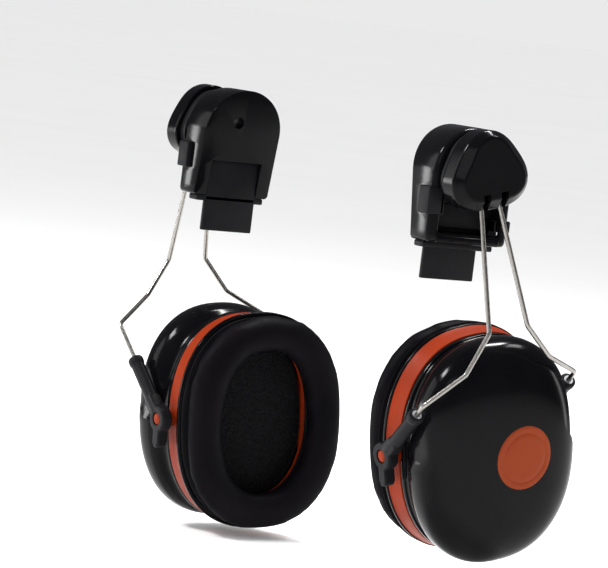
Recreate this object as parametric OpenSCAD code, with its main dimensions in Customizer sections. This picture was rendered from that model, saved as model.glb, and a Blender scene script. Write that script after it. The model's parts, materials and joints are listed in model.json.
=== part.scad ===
// A pair of ear cups for an industrial helmet. Each side has an adapter that plugs into the
// helmet's accessory slot, a swivelling arm head, a two-wire fork and a tilting ear cup.
// +X points to the wearer's left, +Y to the rear and +Z up. The origin is midway between the
// two arm heads, on their common swivel axis. Both sides are described as a left side, and
// the right side is its mirror image at a slightly different setting of its joints.

/* [Adapter] */
// Distance from the middle plane to the helmet face that an adapter rests on
face_x = 97; // [92:0.5:102]
// Front-to-rear width of the adapter housing
housing_w = 45; // [43:0.5:48]
// Depth of the adapter housing, outwards from the helmet
housing_d = 15; // [14:0.5:17]
// How far the adapter housing reaches below the swivel axis
housing_drop = 38; // [36:0.5:42]
// How far the adapter housing reaches above the swivel axis
housing_rise = 17; // [16:0.5:19]
// How far the housing's back leans in towards the helmet at its top
back_lean = 8; // [6:0.5:10]
// Rearward shift of the adapter housing from the swivel axis
housing_dy = 3.5; // [0:0.5:5]
// Width of the blade that enters the helmet's accessory slot
blade_w = 30; // [28:0.5:30]
// Thickness of the slot blade
blade_t = 2.4; // [2:0.1:2.6]
// How far the slot blade reaches below the swivel axis
blade_drop = 56; // [50:1:58]

/* [Arm head] */
// Distance from the middle plane to the plane of the fork
fork_x = 125; // [124:0.5:127]
// Thickness of the head's base plate
base_t = 4.5; // [4:0.1:4.8]
// Height of the cap over the base plate
cap_h = 13; // [12.5:0.5:15]
// Mean radius of the three-lobed head
head_r = 18.6; // [18:0.1:20]
// Depth of the lobes of the head
lobe = 1.6; // [0:0.1:2]
// Front-to-rear stretch of the head
head_stretch = 1.12; // [1:0.01:1.2]
// Radius of the swivel stud's journal
journal_r = 4; // [3.5:0.1:4.5]
// Radius of the pin that the fork hinges on
hinge_r = 1.5; // [1.2:0.1:1.6]

/* [Fork] */
// Wire diameter
wire_d = 2.3; // [2:0.1:2.6]
// Spacing of the two wires where they leave the head
exit_gap = 10; // [9:0.5:12]
// Angle between the legs of the fork and the fork's drop
leg_angle = 50; // [45:1:55]
// Distance from the last bend of a wire to the cup pivot, along its leg
leg_pivot = 45.3; // [45:0.1:46]
// Distance between the two parallel legs
leg_gap = 88; // [87:0.5:90]
// Length of leg held inside an arm when the cup is fully raised
leg_grip = 30; // [24:1:30]

/* [Arms] */
// Distance from the top of an arm to its pivot
arm_top = 38; // [36:1:39]
// Outer diameter of an arm's tube
arm_d = 7; // [6.4:0.1:7.2]
// Radius of the eye at the foot of an arm
eye_r = 6.8; // [6:0.1:7]
// Radius of the cup's pivot pins
pin_r = 2.2; // [2:0.1:2.4]

/* [Cup] */
// Front-to-rear width of the ear cushion
cushion_w = 94; // [92:0.5:96]
// Height of the ear cushion
cushion_h = 112.5; // [110:0.5:116]
// Width of the ear opening
hole_w = 50; // [46:0.5:52]
// Height of the ear opening
hole_h = 71; // [66:0.5:74]
// Thickness of the ear cushion
cushion_t = 17.1; // [15:0.1:18]
// Depth of the orange ring along the cup's axis
ring_d = 9.8; // [9:0.1:10.5]
// Depth of the outer shell beyond the ring
shell_d = 37.4; // [36.6:0.1:39]
// Wall thickness of the outer shell
shell_wall = 2.5; // [2:0.1:3]
// Diameter of the plain round badge
badge_d = 31; // [24:1:32]

/* [Rest position] */
// Rearward swivel of the left fork, in degrees
left_swivel = 13.5; // [-25:0.5:90]
// Rearward swivel of the right fork, in degrees
right_swivel = 6.4; // [-25:0.1:90]
// Outward swing of the right fork, in degrees
right_swing = 5; // [0:0.5:18]
// Outward tilt of the left cup's top, in degrees
left_tilt = 6; // [-15:0.5:15]
// How far the right cup is drawn down its legs
right_extension = 15; // [0:0.5:22]

/* [Hidden] */
SIDES = ["left", "right"];
PIECES = [
  "adapter_housing", "slot_blade", "lock_clip", "swivel_stud", "friction_washer",
  "detent_spring", "head_base", "head_cap", "head_screws", "hinge_pin", "pressure_spring",
  "wire_carrier", "fork_wire_front", "fork_wire_rear", "arm_front", "arm_rear",
  "grip_sleeves", "pivot_pin_front", "pivot_pin_rear", "outer_shell", "mid_ring",
  "base_flange", "cushion_backplate", "cushion_ring", "foam_liner", "damping_foam", "badge"
];

// Finishes
GLOSS_BLACK = "#17171a";
SATIN_BLACK = "#242427";
CUSHION_BLACK = "#2d2a30";
ORANGE = "#b4552d";
STEEL = "#a9a9ac";
FOAM = "#1c1c1f";

// Joint settings at rest, left and right
swivel = [left_swivel, right_swivel];
swing = [0, right_swing];
extension = [0, right_extension];
tilt = [left_tilt, right_swing];   // the right cup hangs upright

// Small clearances
play = 0.05;   // radial, for pins and wires that turn or slide
gap = 0.3;     // between parts that move past each other
eps = 0.1;     // overrun of a cut
over = 1;      // overrun of a longer cut, and the room beyond the end of a leg
far = 90;      // reach of a cut or block that runs clear of everything

// Adapter
front_x = face_x + housing_d;
back_t = 4.5;             // thickness of the housing's back at its foot
floor_x = face_x + back_t;
arch_r = housing_w / 2;
arch_z = housing_rise - arch_r;
edge_bevel = 2.5;
wall = 2.2;
ledge_t = 3.5;
boss_r = 8.5;
stud_r = 3;
stud_inset = 0.5;
stud_flange_r = 6.5;
stud_flange_t = 1.5;
washer_t = 0.7;
washer_r = 8;
pocket_z = -20;
tab_out = 2.5;
front_tab = [-25, -12];   // lowest and highest z of the front tab
rear_tab = [-36, -25.5];  // lowest and highest z of the rear tab
tab_x = [103.2, 110.2];
tab_hole = 6;             // depth of the window that a tab comes out through
ledge_half_w = 18;
ledge_lip = 0.6;
shoulder = [8, 20, 3];    // depth, half width and height of the blade's shoulder
clip_z = [-31, -20];      // lowest and highest z of the clip's bridge
bridge_t = 1.7;
leaf_t = 2;
detent_z = [-13, -10];    // lowest and highest z of the detent spring
detent_w = 12;
detent_leaf = 2;
detent_tip = 0.6;

// Head
head_gap = 0.8;           // between the friction washer and the base plate
base_x = front_x + washer_t + head_gap;
cap_x = base_x + base_t;
cap_bevel = 4;
cap_wall = 2.2;
hinge_z = -5;
barrel_r = 3.3;
barrel_w = 22;
ear_y = 12;
ear_t = 2.5;
ear_half_h = 3;
ear_reach = 2.6;
base_fit = 0.88;          // size of the base plate against the cap's outline
cap_fit = 0.87;           // size of the cap's hollow against its outline
cap_top_scale = 0.8;
screw_at = [13.5, 1.5];
screw_r = 1.2;
screw_head_t = 1.5;
screw_head_r = 2.4;
screw_depth = 7;
spring_z = 10;
post_r = 2.6;
stub_r = 1.9;
stub_drop = 10;
slot_top = -12;
slot_half_w = 2;
slot_depth = 4.5;
lobe_points = 60;
lobe_drop = 3;
coil_r = 2.4;
coil_wire = 0.3;
spring_seat = 3;          // depth of the spring's pocket in the base plate
coil_turns = 4;
lever_t = 2.4;
lever_half_w = 3;
lever_over = 2;           // how far the lever reaches above the spring's axis

// Fork: each wire runs down through these points, given as
// [fore-aft distance, height from the swivel axis, outward distance from the fork plane]
leg_dir = [0, -cos(leg_angle), -sin(leg_angle)];
wire_top = [exit_gap / 2, -7, 0];
wire_exit = [exit_gap / 2, -17.3, 0];
bend_a = [11, -76.5, 8];
bend_b = [24, -94, 5.5];
bend_c = [leg_gap / 2, -106.3, -2.1];
pivot = bend_c + leg_pivot * leg_dir;
leg_end = pivot - (arm_top - leg_grip) * leg_dir;
wire_points = [wire_top, wire_exit, bend_a, bend_b, bend_c, leg_end];
bend_swell = 0.04;        // keeps the ball at a bend proud of the wires that meet in it

// Arms
arm_y = leg_gap / 2;
eye_in = 41;      // inner and outer faces of an arm's eye, from the fork's middle
eye_out = 47;
head_recess = 1.2;
pin_head_r = 3.1;
tail_r = 2.5;
tail_at = [-0.3, -12.5];
sleeve_l = 8;
sleeve_r = 2.3;
arm_foot = 4;             // where the tube of an arm starts, above the pivot
arm_collar_l = 4;
arm_collar_t = 0.5;
leg_bore_r = 1.4;
neck_h = 12;              // height of the neck that joins the tube to the eye

// Cup, in its own frame: the origin is on the pivot axis and x points outwards
cup_dy = 6;
cup_dz = -2.5;
oval_points = 48;
oval_power = 2.3;
flange_x = -9.4;
ring_x = -7.4;
shell_x = ring_x + ring_d;
plate_t = 1.5;
plate_x = flange_x - plate_t;
cushion_x = plate_x - cushion_t;
roll = 5;
roll_step = 2.5;
roll_ease = 0.35;
side_flat = 40.2;
flat_half_h = 19;
side_boss_r = 4.2;
side_boss_l = 5;
collar_d = 7;
ring_taper = 1;
ring_wall = 3;
web_t = 1.2;
slice = 0.05;
rim = 0.5;
recess_clear = 6;
recess_eye = 2;
recess_floor = 39.4;      // distance of the recess floor from the cup's middle
recess_from = [-4, -4];   // corner of the fan that an arm moves in
recess_fan = [5:7.5:80];  // angles of the fan's edge, from the cup's axis
recess_foot = [[-9, -19], [16, 20]];  // lowest corner and size of the room for an arm's tail
// Half widths and half heights of the cup's oval outlines
flange_size = [45.6, 55.4];
flange_hole = [34, 45];
ring_size = [45, 54.8];
ring_hole = [39, 48];
web_hole = [31, 41];
plate_size = [44, 53];
ear_size = [hole_w / 2, hole_h / 2];
plate_lap = [4, 4];
collar_size = [44, 53.8];
collar_hole = [39.5, 49];
liner_size = [31.5, 44];
liner_shift = [3, -2.5];
liner_half_t = 6;
// Cross-sections of the damping foam: x, half width, half height, rearward and downward shift
damping = [[6, 30, 42, 4, -3], [22, 33, 47, 4, -3], [33, 26, 38, 5, -4]];
// Cross-sections of the domed shell: distance beyond the ring, half width, half height,
// rearward shift and downward shift
dome = [
  [4, 42.5, 52.8, 4.5, -1.8], [11.5, 42.8, 53.8, 2.6, -1], [17.5, 44, 55, 2.2, -0.8],
  [25, 42.9, 53.6, 2.3, -0.8], [29.5, 39.8, 49.8, 2.8, -0.9], [33, 34.5, 43.5, 4, -1],
  [35.6, 27.5, 35.5, 6, -1], [shell_d, 19, 26, 8, -1]
];
badge_t = 0.8;

// A closed outline between an ellipse and a rectangle
function bulge(t) = sign(t) * pow(abs(t), 2 / oval_power);
function oval(size) = [
  for (i = [0:oval_points - 1])
    let (a = 360 * i / oval_points)
      [size[0] * bulge(cos(a)), size[1] * bulge(sin(a))]
];

// The head's outline, with one lobe up and two down
function three_lobes(k) = [
  for (i = [0:lobe_points - 1])
    let (a = 360 * i / lobe_points, r = k * (head_r + lobe * cos(3 * (a - 90))))
      [head_stretch * r * cos(a), r * sin(a) - lobe_drop]
];

// A plate that lies across the X axis, between two distances from the middle plane
module plate(from, to) {
  translate([from, 0, 0]) rotate([90, 0, 90]) linear_extrude(to - from) children();
}

// A round rod along X
module rod_x(from, to, r) {
  translate([from, 0, 0]) rotate([0, 90, 0]) cylinder(h = to - from, r = r, $fn = 64);
}

// A round rod along Y
module rod_y(from, to, r) {
  translate([0, to, 0]) rotate([90, 0, 0]) cylinder(h = to - from, r = r, $fn = 64);
}

// A round rod between two points
module rod(a, b, r) {
  d = b - a;
  translate(a)
    rotate([0, acos(d[2] / norm(d)), atan2(d[1], d[0])])
      cylinder(h = norm(d), r = r, $fn = 32);
}

// An oval plate in the cup's frame, shifted with the cup's centre
module oval_plate(from, to, size, shift = [cup_dy, cup_dz]) {
  plate(from, to) translate(shift) polygon(oval(size));
}

// The adapter's arched outline, drawn in from its edge
module arch(inset) {
  r = arch_r - inset;
  translate([housing_dy, arch_z]) circle(r, $fn = 96);
  translate([housing_dy - r, inset - housing_drop])
    square([2 * r, housing_drop - inset + arch_z]);
}

// A block given by its lowest and highest corners
module block(low, high) {
  translate(low) cube(high - low);
}

// ---- Adapter, held by the helmet ----

// The housing's plate, with a back that leans in towards the helmet at its top
module leaning_plate() {
  lean = atan(back_lean / (housing_drop + housing_rise));
  difference() {
    plate(face_x - back_lean, front_x - edge_bevel) children();
    translate([face_x, 0, -housing_drop]) rotate([0, -lean, 0])
      block([-far, -far, -far], [0, far, far]);
  }
}

module adapter_housing() {
  color(GLOSS_BLACK)
    difference() {
      union() {
        difference() {
          hull() {
            leaning_plate() arch(0);
            plate(front_x - edge_bevel, front_x) arch(edge_bevel);
          }
          difference() {
            plate(floor_x, front_x + eps) arch(edge_bevel + wall);
            rod_x(face_x, front_x, boss_r);
          }
        }
        block([face_x, housing_dy - ledge_half_w, -housing_drop],
              [front_x + ledge_lip, housing_dy + ledge_half_w, ledge_t - housing_drop]);
      }
      rod_x(face_x - back_lean - eps, front_x + eps, stud_r);
      block([face_x - back_lean, housing_dy - blade_w / 2, -housing_drop - eps],
            [face_x + blade_t, housing_dy + blade_w / 2, pocket_z]);
      block([tab_x[0], housing_dy - arch_r - eps, front_tab[0]],
            [front_x + eps, housing_dy - arch_r + tab_hole, front_tab[1]]);
      block([tab_x[0], housing_dy + arch_r - tab_hole, rear_tab[0]],
            [tab_x[1], housing_dy + arch_r + eps, rear_tab[1]]);
    }
}

module slot_blade() {
  color(SATIN_BLACK) {
    block([face_x, housing_dy - blade_w / 2, -blade_drop],
          [face_x + blade_t, housing_dy + blade_w / 2, pocket_z]);
    block([face_x, housing_dy - shoulder[1], -housing_drop - shoulder[2]],
          [face_x + shoulder[0], housing_dy + shoulder[1], -housing_drop]);
  }
}

module lock_clip() {
  inner = arch_r - edge_bevel - wall;
  outer = arch_r + tab_out;
  color(SATIN_BLACK) {
    block([floor_x, housing_dy - inner, clip_z[0]],
          [floor_x + bridge_t, housing_dy + inner, clip_z[1]]);
    block([floor_x, housing_dy - inner, front_tab[0]],
          [front_x, housing_dy - inner + leaf_t, front_tab[1]]);
    block([tab_x[0], housing_dy - outer, front_tab[0]],
          [front_x, housing_dy - inner + leaf_t, front_tab[1]]);
    block([floor_x, housing_dy + inner - leaf_t, clip_z[0]],
          [tab_x[1], housing_dy + inner, rear_tab[1]]);
    block([tab_x[0], housing_dy + inner - leaf_t, clip_z[0]],
          [tab_x[1], housing_dy + outer, rear_tab[1]]);
  }
}

module swivel_stud() {
  color(STEEL) {
    rod_x(face_x + stud_inset, front_x, stud_r);
    rod_x(front_x, cap_x + gap, journal_r);
    rod_x(cap_x + gap, cap_x + gap + stud_flange_t, stud_flange_r);
  }
}

module friction_washer() {
  color(STEEL)
    difference() {
      rod_x(front_x, front_x + washer_t, washer_r);
      rod_x(front_x - eps, front_x + washer_t + eps, journal_r);
    }
}

module detent_spring() {
  color(STEEL) {
    block([floor_x, -detent_w / 2, detent_z[0]],
          [floor_x + detent_leaf, detent_w / 2, detent_z[1]]);
    for (y = [-detent_w / 2, detent_w / 2 - detent_leaf])
      block([floor_x + detent_leaf, y, detent_z[0]], [front_x, y + detent_leaf, detent_z[1]]);
    block([front_x - detent_tip, -detent_w / 2, detent_z[0]],
          [front_x, detent_w / 2, detent_z[1]]);
  }
}

// ---- Head, which swivels on the stud ----

module head_base() {
  color(SATIN_BLACK)
    difference() {
      union() {
        plate(base_x, cap_x) polygon(three_lobes(base_fit));
        for (s = [-1, 1])
          block([cap_x, s * (ear_y + ear_t / 2) - ear_t / 2, hinge_z - ear_half_h],
                [fork_x + ear_reach, s * (ear_y + ear_t / 2) + ear_t / 2, hinge_z + ear_half_h]);
      }
      rod_x(base_x - eps, cap_x + eps, journal_r + play);
      translate([fork_x, 0, hinge_z]) rod_y(-far, far, hinge_r);
      translate([0, 0, spring_z])
        rod_x(cap_x - spring_seat, cap_x + eps, coil_r + coil_wire + gap);
      for (s = [-1, 1])
        translate([0, s * screw_at[0], screw_at[1]]) {
          rod_x(base_x - eps, cap_x + eps, screw_r);
          rod_x(base_x - eps, base_x + screw_head_t, screw_head_r);
        }
    }
}

module head_cap() {
  top_x = cap_x + cap_h;
  color(GLOSS_BLACK)
    difference() {
      union() {
        plate(cap_x, top_x - cap_bevel) polygon(three_lobes(1));
        translate([top_x - cap_bevel, 0, 0])
          rotate([90, 0, 90])
            linear_extrude(cap_bevel, scale = cap_top_scale) polygon(three_lobes(1));
      }
      difference() {
        plate(cap_x - eps, top_x - cap_wall) polygon(three_lobes(cap_fit));
        for (s = [-1, 1])
          translate([0, s * screw_at[0], screw_at[1]]) rod_x(cap_x - over, top_x, post_r);
      }
      for (s = [-1, 1]) {
        translate([0, s * screw_at[0], screw_at[1]]) rod_x(cap_x - eps, cap_x + screw_depth, screw_r);
        block([fork_x - slot_depth, s * exit_gap / 2 - slot_half_w, -far],
              [top_x + eps, s * exit_gap / 2 + slot_half_w, slot_top]);
      }
    }
}

module head_screws() {
  color(STEEL)
    for (s = [-1, 1])
      translate([0, s * screw_at[0], screw_at[1]]) {
        rod_x(base_x, base_x + screw_head_t, screw_head_r);
        rod_x(base_x + screw_head_t, cap_x + screw_depth, screw_r);
      }
}

module hinge_pin() {
  color(STEEL)
    translate([fork_x, 0, hinge_z]) rod_y(-ear_y - ear_t, ear_y + ear_t, hinge_r);
}

// The spring fills the space between its pocket and the lever, which leans in as the fork swings
module pressure_spring(i) {
  lever_in = (spring_z + coil_r + coil_wire - hinge_z) * sin(swing[i]);
  coil_l = fork_x - lever_t / 2 - gap - lever_in - cap_x + spring_seat;
  color(STEEL)
    translate([cap_x - spring_seat, 0, spring_z]) rotate([0, 90, 0])
      for (turn = [0:coil_turns])
        translate([0, 0, coil_wire + turn * (coil_l - 2 * coil_wire) / coil_turns])
          rotate_extrude($fn = 32) translate([coil_r, 0]) circle(coil_wire, $fn = 16);
}

// ---- Fork, which hinges outwards in the head ----

module wire_carrier() {
  color(SATIN_BLACK)
    difference() {
      union() {
        translate([fork_x, 0, hinge_z]) rod_y(-barrel_w / 2, barrel_w / 2, barrel_r);
        block([fork_x - lever_t / 2, -lever_half_w, hinge_z],
              [fork_x + lever_t / 2, lever_half_w, spring_z + lever_over]);
        for (s = [-1, 1])
          translate([fork_x, s * exit_gap / 2, -stub_drop])
            cylinder(h = stub_drop + hinge_z, r = stub_r, $fn = 48);
      }
      translate([fork_x, 0, hinge_z]) rod_y(-far, far, hinge_r + play);
      for (s = [-1, 1])
        translate([fork_x, s * exit_gap / 2, wire_top[1] - far])
          cylinder(h = far, r = wire_d / 2, $fn = 48);
    }
}

// One wire of the fork, to the front (s = -1) or to the rear (s = 1)
module fork_wire(s) {
  path = [for (p = wire_points) [fork_x + p[2], s * p[0], p[1]]];
  color(STEEL) {
    for (i = [0:len(path) - 2]) rod(path[i], path[i + 1], wire_d / 2);
    for (i = [1:len(path) - 2]) translate(path[i]) sphere(wire_d / 2 + bend_swell, $fn = 32);
  }
}

// ---- Arms, which slide on the legs of the fork ----

// Stands children in an arm's frame: the origin is on the pivot and +Z runs up the leg
module along_leg(s) {
  translate([fork_x + pivot[2], s * arm_y, pivot[1]]) rotate([0, leg_angle, 0]) children();
}

module arm(s) {
  color(SATIN_BLACK)
    difference() {
      union() {
        along_leg(s) {
          translate([0, 0, arm_foot]) cylinder(h = arm_top - arm_foot, r = arm_d / 2, $fn = 48);
          translate([0, 0, arm_top - arm_collar_l])
            cylinder(h = arm_collar_l, r = arm_d / 2 + arm_collar_t, $fn = 48);
        }
        arm_eye(s);
      }
      along_leg(s) {
        translate([0, 0, arm_top - leg_grip - over])
          cylinder(h = leg_grip + 2 * over, r = leg_bore_r, $fn = 48);
        translate([0, 0, arm_top - sleeve_l]) cylinder(h = sleeve_l + over, r = sleeve_r, $fn = 48);
      }
      translate([fork_x + pivot[2], 0, pivot[1]]) {
        side_rod(s, eye_in - over, eye_out + over, pin_r + play);
        side_rod(s, eye_out - head_recess - gap, eye_out + over, pin_head_r + gap);
      }
    }
}

// The flat eye at the foot of an arm, with a tail that hangs below the pivot
module arm_eye(s) {
  translate([fork_x + pivot[2], 0, pivot[1]]) {
    side_rod(s, eye_in, eye_out, eye_r);
    translate([tail_at[0], 0, tail_at[1]]) side_rod(s, eye_in, eye_out, tail_r);
    side_block(s, [tail_at[0] - tail_r, tail_at[1]], [tail_at[0] + tail_r, 0]);
  }
  along_leg(s) arm_neck(s);
}

// Rods and blocks that stand on the front (s = -1) or rear (s = 1) side of the cup
module side_rod(s, from, to, r) {
  rod_y(min(s * from, s * to), max(s * from, s * to), r);
}

module side_block(s, low, high) {
  block([low[0], min(s * eye_in, s * eye_out), low[1]],
        [high[0], max(s * eye_in, s * eye_out), high[1]]);
}

// The neck between an arm's tube and its eye, drawn in the arm's frame
module arm_neck(s) {
  inner = s * (eye_in - arm_y);
  outer = s * (eye_out - arm_y);
  block([-arm_d / 2, min(inner, outer), 0], [arm_d / 2, max(inner, outer), neck_h]);
}

module grip_sleeves() {
  color(STEEL)
    for (s = [-1, 1])
      along_leg(s) translate([0, 0, arm_top - sleeve_l])
        difference() {
          cylinder(h = sleeve_l, r = sleeve_r, $fn = 48);
          translate([0, 0, -over]) cylinder(h = sleeve_l + 2 * over, r = wire_d / 2 + play, $fn = 48);
        }
}

// ---- Cup, which tilts between the arms; drawn around its pivot ----

module pivot_pin(s) {
  color(ORANGE) {
    side_rod(s, side_flat - side_boss_l, eye_out - head_recess, pin_r);
    side_rod(s, eye_out - head_recess, eye_out, pin_head_r);
  }
}

// The part of a slab between the two side flats
module between_flats(from, to) {
  intersection() {
    children();
    block([from, -side_flat, -far], [to, side_flat, far]);
  }
}

// Room for an arm and its eye on each side of the shell
module arm_recess() {
  reach = arm_top + recess_clear;
  for (s = [-1, 1])
    translate([0, s > 0 ? far : -recess_floor, 0]) rotate([90, 0, 0])
      linear_extrude(far - recess_floor) {
        polygon(concat([recess_from], [for (a = recess_fan) reach * [cos(a), sin(a)]]));
        circle(eye_r + recess_eye, $fn = 48);
        translate(recess_foot[0]) square(recess_foot[1]);
      }
}

module dome_hull(inset) {
  hull()
    for (d = dome) {
      x = shell_x + min(d[0], shell_d - inset - slice);
      oval_plate(x, x + slice, [d[1] - inset, d[2] - inset], [d[3], d[4]]);
    }
}

module outer_shell() {
  color(GLOSS_BLACK)
    difference() {
      union() {
        oval_plate(shell_x, shell_x + collar_d, collar_size);
        dome_hull(0);
      }
      intersection() {
        union() {
          oval_plate(shell_x - eps, shell_x + collar_d, collar_hole);
          dome_hull(shell_wall);
        }
        block([shell_x - eps, shell_wall - side_flat, -far],
              [far, side_flat - shell_wall, far]);
      }
      arm_recess();
      for (s = [-1, 1]) side_rod(s, side_flat - side_boss_l - gap, far, side_boss_r + 2 * play);
    }
}

module mid_ring() {
  color(ORANGE)
    difference() {
      union() {
        difference() {
          hull() {
            oval_plate(ring_x, ring_x + rim, ring_size);
            oval_plate(shell_x - rim, shell_x, ring_size - [ring_taper, ring_taper]);
          }
          for (s = [-1, 1])
            block([ring_x - eps, s > 0 ? side_flat : -far, -flat_half_h],
                  [shell_x + eps, s > 0 ? far : -side_flat, flat_half_h]);
          intersection() {
            oval_plate(ring_x - eps, shell_x + eps, ring_hole);
            block([ring_x - eps, ring_wall - side_flat, -far],
                  [shell_x + eps, side_flat - ring_wall, far]);
          }
        }
        for (s = [-1, 1]) side_rod(s, side_flat - side_boss_l, side_flat, side_boss_r);
        difference() {
          between_flats(ring_x, ring_x + web_t)
            oval_plate(ring_x, ring_x + web_t, ring_hole + [rim, rim]);
          oval_plate(ring_x - eps, ring_x + web_t + eps, web_hole);
        }
      }
      rod_y(-far, far, pin_r);
    }
}

module base_flange() {
  color(GLOSS_BLACK)
    difference() {
      oval_plate(flange_x, ring_x, flange_size);
      oval_plate(flange_x - eps, ring_x + eps, flange_hole);
    }
}

module cushion_backplate() {
  color(SATIN_BLACK)
    difference() {
      oval_plate(plate_x, flange_x, plate_size);
      oval_plate(plate_x - eps, flange_x + eps, ear_size + plate_lap);
    }
}

module cushion_ring() {
  color(CUSHION_BLACK) {
    cushion_slab(cushion_x, cushion_x + roll_step, roll);
    cushion_slab(cushion_x + roll_step, cushion_x + 2 * roll_step, roll_ease * roll);
    cushion_slab(cushion_x + 2 * roll_step, plate_x, 0);
  }
}

// A slice of the cushion, narrowed on both edges
module cushion_slab(from, to, inset) {
  difference() {
    oval_plate(from, to, [cushion_w / 2 - inset, cushion_h / 2 - inset]);
    oval_plate(from - eps, to + eps, ear_size + [inset, inset]);
  }
}

module foam_liner() {
  color(FOAM) oval_plate(-liner_half_t, liner_half_t, liner_size, liner_shift);
}

module damping_foam() {
  color(FOAM)
    hull() {
      for (d = damping) oval_plate(d[0], d[0] + rim, [d[1], d[2]], [d[3], d[4]]);
    }
}

module badge() {
  face = dome[len(dome) - 1];
  color(ORANGE)
    translate([shell_x + shell_d + slice, face[3], face[4]]) rod_x(0, badge_t, badge_d / 2);
}

// ---- Placing the two sides ----

// The right side is the mirror image of the left
module on_side(i) {
  mirror([i, 0, 0]) children();
}

module on_head(i) {
  on_side(i) rotate([swivel[i], 0, 0]) children();
}

module on_fork(i) {
  on_head(i)
    translate([fork_x, 0, hinge_z]) rotate([0, -swing[i], 0]) translate([-fork_x, 0, -hinge_z])
      children();
}

module on_arms(i) {
  on_fork(i) translate(extension[i] * [leg_dir[2], 0, leg_dir[1]]) children();
}

module on_cup(i) {
  on_arms(i)
    translate([fork_x + pivot[2], 0, pivot[1]]) rotate([0, tilt[i], 0]) children();
}

for (i = [0, 1]) {
  on_side(i) adapter_housing();
  on_side(i) slot_blade();
  on_side(i) lock_clip();
  on_side(i) swivel_stud();
  on_side(i) friction_washer();
  on_side(i) detent_spring();
  on_head(i) head_base();
  on_head(i) head_cap();
  on_head(i) head_screws();
  on_head(i) hinge_pin();
  on_head(i) pressure_spring(i);
  on_fork(i) wire_carrier();
  on_fork(i) fork_wire(-1);
  on_fork(i) fork_wire(1);
  on_arms(i) arm(-1);
  on_arms(i) arm(1);
  on_arms(i) grip_sleeves();
  on_cup(i) pivot_pin(-1);
  on_cup(i) pivot_pin(1);
  on_cup(i) outer_shell();
  on_cup(i) mid_ring();
  on_cup(i) base_flange();
  on_cup(i) cushion_backplate();
  on_cup(i) cushion_ring();
  on_cup(i) foam_liner();
  on_cup(i) damping_foam();
  on_cup(i) badge();
}
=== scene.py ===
"""A helmet-mounted pair of ear cups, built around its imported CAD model.

Every shape is made in millimetres, in one of five frames that each side has (root, head, fork, arms and
cup), and is then placed on both sides. In each of these frames x points outwards from the wearer's head,
y to the rear and z up. Only the pressure springs differ from side to side.
"""

import json
import math

import bmesh
import bpy
import numpy as np
from mathutils import Matrix, Vector, noise


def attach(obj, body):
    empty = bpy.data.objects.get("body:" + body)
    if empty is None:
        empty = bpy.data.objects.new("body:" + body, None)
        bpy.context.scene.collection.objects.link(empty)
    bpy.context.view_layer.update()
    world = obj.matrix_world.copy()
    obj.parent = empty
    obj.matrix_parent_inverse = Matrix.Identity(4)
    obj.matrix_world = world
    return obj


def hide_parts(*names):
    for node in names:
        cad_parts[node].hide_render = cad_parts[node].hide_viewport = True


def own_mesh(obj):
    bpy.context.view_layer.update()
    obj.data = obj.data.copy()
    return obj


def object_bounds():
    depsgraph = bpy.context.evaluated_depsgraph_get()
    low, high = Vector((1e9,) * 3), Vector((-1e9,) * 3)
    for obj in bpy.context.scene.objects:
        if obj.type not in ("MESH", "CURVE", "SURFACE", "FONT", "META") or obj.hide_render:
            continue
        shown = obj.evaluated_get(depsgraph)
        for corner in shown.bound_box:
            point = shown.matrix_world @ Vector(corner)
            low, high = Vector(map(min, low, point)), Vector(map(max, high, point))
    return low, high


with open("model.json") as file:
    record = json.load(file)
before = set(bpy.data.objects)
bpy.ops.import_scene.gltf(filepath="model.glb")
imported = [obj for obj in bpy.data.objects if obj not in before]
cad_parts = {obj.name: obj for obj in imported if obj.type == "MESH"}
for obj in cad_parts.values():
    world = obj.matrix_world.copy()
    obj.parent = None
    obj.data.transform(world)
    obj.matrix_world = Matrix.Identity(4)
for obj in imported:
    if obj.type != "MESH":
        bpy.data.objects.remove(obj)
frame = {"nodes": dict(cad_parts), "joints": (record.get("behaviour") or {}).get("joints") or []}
cad_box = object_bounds()
joints = {j["name"]: j for j in frame["joints"]}
scene = bpy.context.scene

MM = 0.001
AROUND = 144  # points round an oval or a head outline
SIDES = {"left": 1, "right": -1}

# Driving sizes, in millimetres, as in the CAD model
OVAL_POWER = 2.3
CUP_SHIFT = (6.0, -2.5)
CUP_LEAN = {"left": math.radians(6), "right": 0.0}
FORK_X = 125.0
HINGE_Z = -5.0
LEG_ANGLE = math.radians(50)
LEG_PIVOT = 45.3
LEG_GRIP = 30.0
WIRE_R = 1.15
ARM_Y, ARM_TOP, ARM_R = 44.0, 38.0, 3.5
SLEEVE_L, SLEEVE_R, LEG_BORE_R = 8.0, 2.3, 1.4
EYE_TAIL, TAIL_R = (-0.3, 0, -12.5), 2.5
HEAD_RECESS, GAP, PLAY = 1.2, 0.3, 0.05
EYE_IN, EYE_OUT, EYE_R = 41.0, 47.0, 6.8
PIN_R, PIN_HEAD_R = 2.2, 3.1
SIDE_FLAT, FLAT_HALF_H = 40.2, 19.0
FLANGE_X, RING_X, SHELL_X = -9.4, -7.4, 2.4
CUSHION_X = (-28.0, -10.9)
CUSHION_SIZE, EAR_HOLE = (47.0, 56.25), (25.0, 35.5)
RING_SIZE, FLANGE_SIZE, PLATE_SIZE = (45.0, 54.8), (45.6, 55.4), (44.0, 53.0)
RING_WALL, SHELL_WALL = 3.0, 2.5
PIN_BOSS_R, PIN_BOSS_L = 4.2, 5.0
RECESS_FLOOR = 39.4
FACE_X, FRONT_X, FLOOR_X = 97.0, 112.0, 101.5
HOUSING_DY, ARCH_R, ARCH_Z, HOUSING_DROP = 3.5, 22.5, -5.5, 38.0
BACK_LEAN = 8.0 / 55.0
EDGE_BEVEL, HOUSING_WALL = 2.5, 2.2
BLADE_HALF_W, BLADE_T, BLADE_LOW, POCKET_Z = 15.0, 2.4, -56.0, -20.0
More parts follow.
